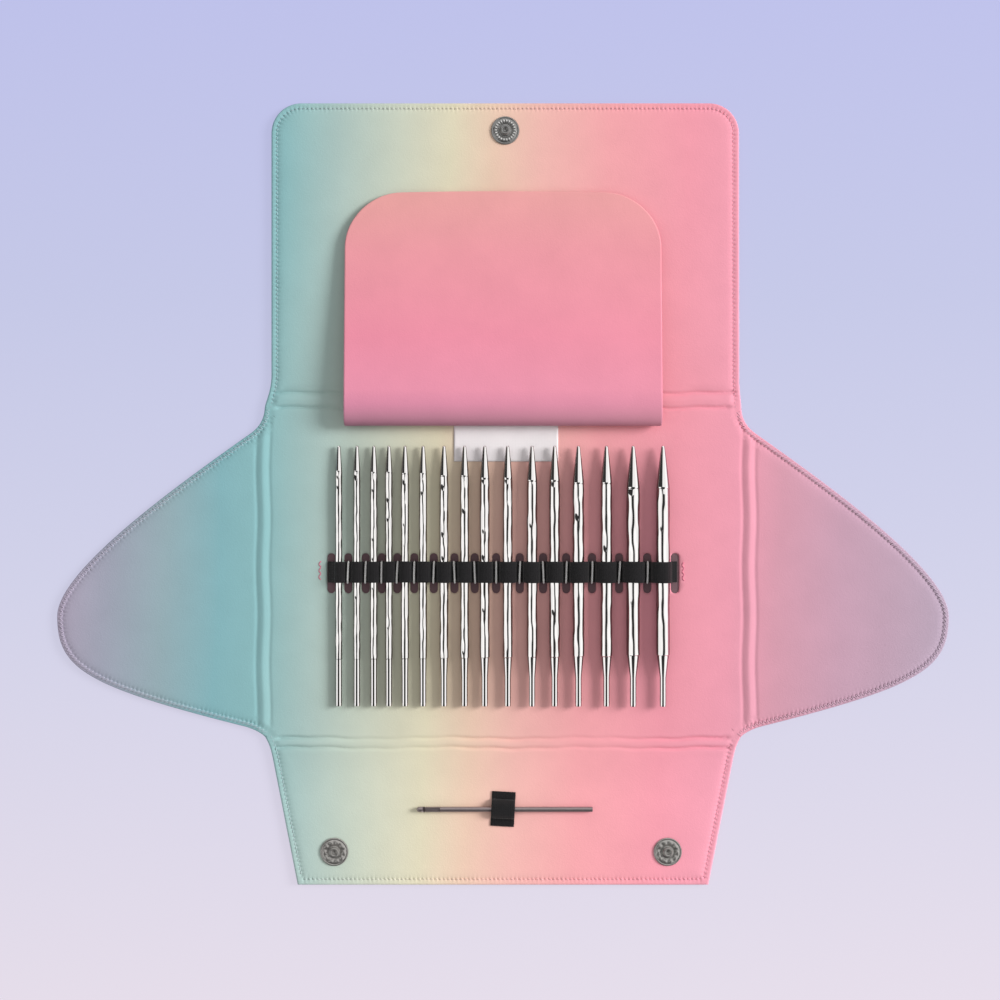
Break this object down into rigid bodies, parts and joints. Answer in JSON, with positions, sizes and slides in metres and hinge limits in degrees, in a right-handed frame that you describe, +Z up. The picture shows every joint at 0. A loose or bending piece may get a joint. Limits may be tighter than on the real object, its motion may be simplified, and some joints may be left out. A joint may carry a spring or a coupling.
{
  "type": "knitting needle case",
  "caption": "Soft folding case lying open: a centre panel holds metal needle tips under a woven elastic, with a needle flap and four folding flaps round it.",
  "frame": {"origin": "under the middle of the open case, on the surface it lies on", "axes": "+X to the right wing, +Y to the top flap, +Z up"},
  "size_m": [0.445, 0.39, 0.0137],
  "materials": {
    "printed lining": "satin",
    "outer cover": "satin",
    "foam board": "matte",
    "black elastic": "matte",
    "white thread": "matte",
    "white label": "matte",
    "snap metal": "satin",
    "dark steel": "satin",
    "needle chrome": "polished"
  },
  "bodies": {
    "centre": {"centre_cover": "outer cover", "centre_foam": "foam board", "centre_lining": "printed lining", "elastic_band": "black elastic", "bar_tacks": "white thread", "label": "white label", "flap_riser": "outer cover"},
    "top_flap": {"top_cover": "outer cover", "top_foam": "foam board", "top_lining": "printed lining", "top_snap": "snap metal", "top_washer": "snap metal"},
    "bottom_flap": {"bottom_cover": "outer cover", "bottom_foam": "foam board", "bottom_lining": "printed lining", "bottom_snaps": "snap metal", "bottom_washers": "snap metal", "front_socket": "snap metal", "tool_loop": "black elastic"},
    "left_wing": {"left_cover": "outer cover", "left_foam": "foam board", "left_lining": "printed lining", "left_socket": "snap metal", "left_washer": "snap metal"},
    "right_wing": {"right_cover": "outer cover", "right_foam": "foam board", "right_lining": "printed lining", "right_socket": "snap metal", "right_washer": "snap metal"},
    "top_fold": {"top_fold": "printed lining"},
    "bottom_fold": {"bottom_fold": "printed lining"},
    "left_fold": {"left_fold": "printed lining"},
    "right_fold": {"right_fold": "printed lining"},
    "needle_flap": {"flap_hem": "outer cover", "needle_flap_face": "printed lining", "needle_flap_backing": "outer cover"},
    "rod_tool": {"rod_tool": "dark steel"},
    "needle_3_5_a": {"needle_3_5_a": "needle chrome"},
    "needle_3_5_b": {"needle_3_5_b": "needle chrome"},
    "needle_3_75_a": {"needle_3_75_a": "needle chrome"},
    "needle_3_75_b": {"needle_3_75_b": "needle chrome"},
    "needle_4_a": {"needle_4_a": "needle chrome"},
    "needle_4_b": {"needle_4_b": "needle chrome"},
    "needle_4_5_a": {"needle_4_5_a": "needle chrome"},
    "needle_4_5_b": {"needle_4_5_b": "needle chrome"},
    "needle_5_a": {"needle_5_a": "needle chrome"},
    "needle_5_b": {"needle_5_b": "needle chrome"},
    "needle_5_5_a": {"needle_5_5_a": "needle chrome"},
    "needle_5_5_b": {"needle_5_5_b": "needle chrome"},
    "needle_6_a": {"needle_6_a": "needle chrome"},
    "needle_6_b": {"needle_6_b": "needle chrome"},
    "needle_7_a": {"needle_7_a": "needle chrome"},
    "needle_7_b": {"needle_7_b": "needle chrome"}
  },
  "joints": [
    {"name": "top_flap_folds", "type": "hinge", "parent": "centre", "child": "top_flap", "pos_m": [0, 0.0465, 0.01413], "axis": [1, 0, 0], "range_deg": [0, 180]},
    {"name": "bottom_flap_folds", "type": "hinge", "parent": "centre", "child": "bottom_flap", "pos_m": [0, -0.1245, 0.01128], "axis": [-1, 0, 0], "range_deg": [0, 180]},
    {"name": "left_wing_folds", "type": "hinge", "parent": "centre", "child": "left_wing", "pos_m": [-0.121, -0.04, 0.00817], "axis": [0, 1, 0], "range_deg": [0, 180]},
    {"name": "right_wing_folds", "type": "hinge", "parent": "centre", "child": "right_wing", "pos_m": [0.121, -0.04, 0.00817], "axis": [0, -1, 0], "range_deg": [0, 180]},
    {"name": "top_strip_bends", "type": "hinge", "parent": "centre", "child": "top_fold", "pos_m": [0, 0.0465, 0.01413], "axis": [1, 0, 0], "range_deg": [0, 90]},
    {"name": "bottom_strip_bends", "type": "hinge", "parent": "centre", "child": "bottom_fold", "pos_m": [0, -0.1245, 0.01128], "axis": [-1, 0, 0], "range_deg": [0, 90]},
    {"name": "left_strip_bends", "type": "hinge", "parent": "centre", "child": "left_fold", "pos_m": [-0.121, -0.04, 0.00817], "axis": [0, 1, 0], "range_deg": [0, 90]},
    {"name": "right_strip_bends", "type": "hinge", "parent": "centre", "child": "right_fold", "pos_m": [0.121, -0.04, 0.00817], "axis": [0, -1, 0], "range_deg": [0, 90]},
    {"name": "needle_flap_folds", "type": "hinge", "parent": "centre", "child": "needle_flap", "pos_m": [0, 0.035, 0.01235], "axis": [1, 0, 0], "range_deg": [0, 184.1]},
    {"name": "rod_tool_slides_out", "type": "slide", "parent": "bottom_flap", "child": "rod_tool", "axis": [1, 0, 0], "range_m": [-0.045, 0]},
    {"name": "needle_3_5_a_slides_out", "type": "slide", "parent": "centre", "child": "needle_3_5_a", "axis": [0, 1, 0], "range_m": [-0.045, 0]},
    {"name": "needle_3_5_b_slides_out", "type": "slide", "parent": "centre", "child": "needle_3_5_b", "axis": [0, 1, 0], "range_m": [-0.045, 0]},
    {"name": "needle_3_75_a_slides_out", "type": "slide", "parent": "centre", "child": "needle_3_75_a", "axis": [0, 1, 0], "range_m": [-0.045, 0]},
    {"name": "needle_3_75_b_slides_out", "type": "slide", "parent": "centre", "child": "needle_3_75_b", "axis": [0, 1, 0], "range_m": [-0.045, 0]},
    {"name": "needle_4_a_slides_out", "type": "slide", "parent": "centre", "child": "needle_4_a", "axis": [0, 1, 0], "range_m": [-0.045, 0]},
    {"name": "needle_4_b_slides_out", "type": "slide", "parent": "centre", "child": "needle_4_b", "axis": [0, 1, 0], "range_m": [-0.045, 0]},
    {"name": "needle_4_5_a_slides_out", "type": "slide", "parent": "centre", "child": "needle_4_5_a", "axis": [0, 1, 0], "range_m": [-0.045, 0]},
    {"name": "needle_4_5_b_slides_out", "type": "slide", "parent": "centre", "child": "needle_4_5_b", "axis": [0, 1, 0], "range_m": [-0.045, 0]},
    {"name": "needle_5_a_slides_out", "type": "slide", "parent": "centre", "child": "needle_5_a", "axis": [0, 1, 0], "range_m": [-0.045, 0]},
    {"name": "needle_5_b_slides_out", "type": "slide", "parent": "centre", "child": "needle_5_b", "axis": [0, 1, 0], "range_m": [-0.045, 0]},
    {"name": "needle_5_5_a_slides_out", "type": "slide", "parent": "centre", "child": "needle_5_5_a", "axis": [0, 1, 0], "range_m": [-0.045, 0]},
    {"name": "needle_5_5_b_slides_out", "type": "slide", "parent": "centre", "child": "needle_5_5_b", "axis": [0, 1, 0], "range_m": [-0.045, 0]},
    {"name": "needle_6_a_slides_out", "type": "slide", "parent": "centre", "child": "needle_6_a", "axis": [0, 1, 0], "range_m": [-0.045, 0]},
    {"name": "needle_6_b_slides_out", "type": "slide", "parent": "centre", "child": "needle_6_b", "axis": [0, 1, 0], "range_m": [-0.045, 0]},
    {"name": "needle_7_a_slides_out", "type": "slide", "parent": "centre", "child": "needle_7_a", "axis": [0, 1, 0], "range_m": [-0.045, 0]},
    {"name": "needle_7_b_slides_out", "type": "slide", "parent": "centre", "child": "needle_7_b", "axis": [0, 1, 0], "range_m": [-0.045, 0]}
  ],
  "couplings": [
    {"joint": "top_strip_bends", "follows": "top_flap_folds", "ratio": 0.5},
    {"joint": "bottom_strip_bends", "follows": "bottom_flap_folds", "ratio": 0.5},
    {"joint": "left_strip_bends", "follows": "left_wing_folds", "ratio": 0.5},
    {"joint": "right_strip_bends", "follows": "right_wing_folds", "ratio": 0.5},
    {"joint": "needle_flap_folds", "follows": "top_flap_folds", "ratio": 1.0227}
  ]
}
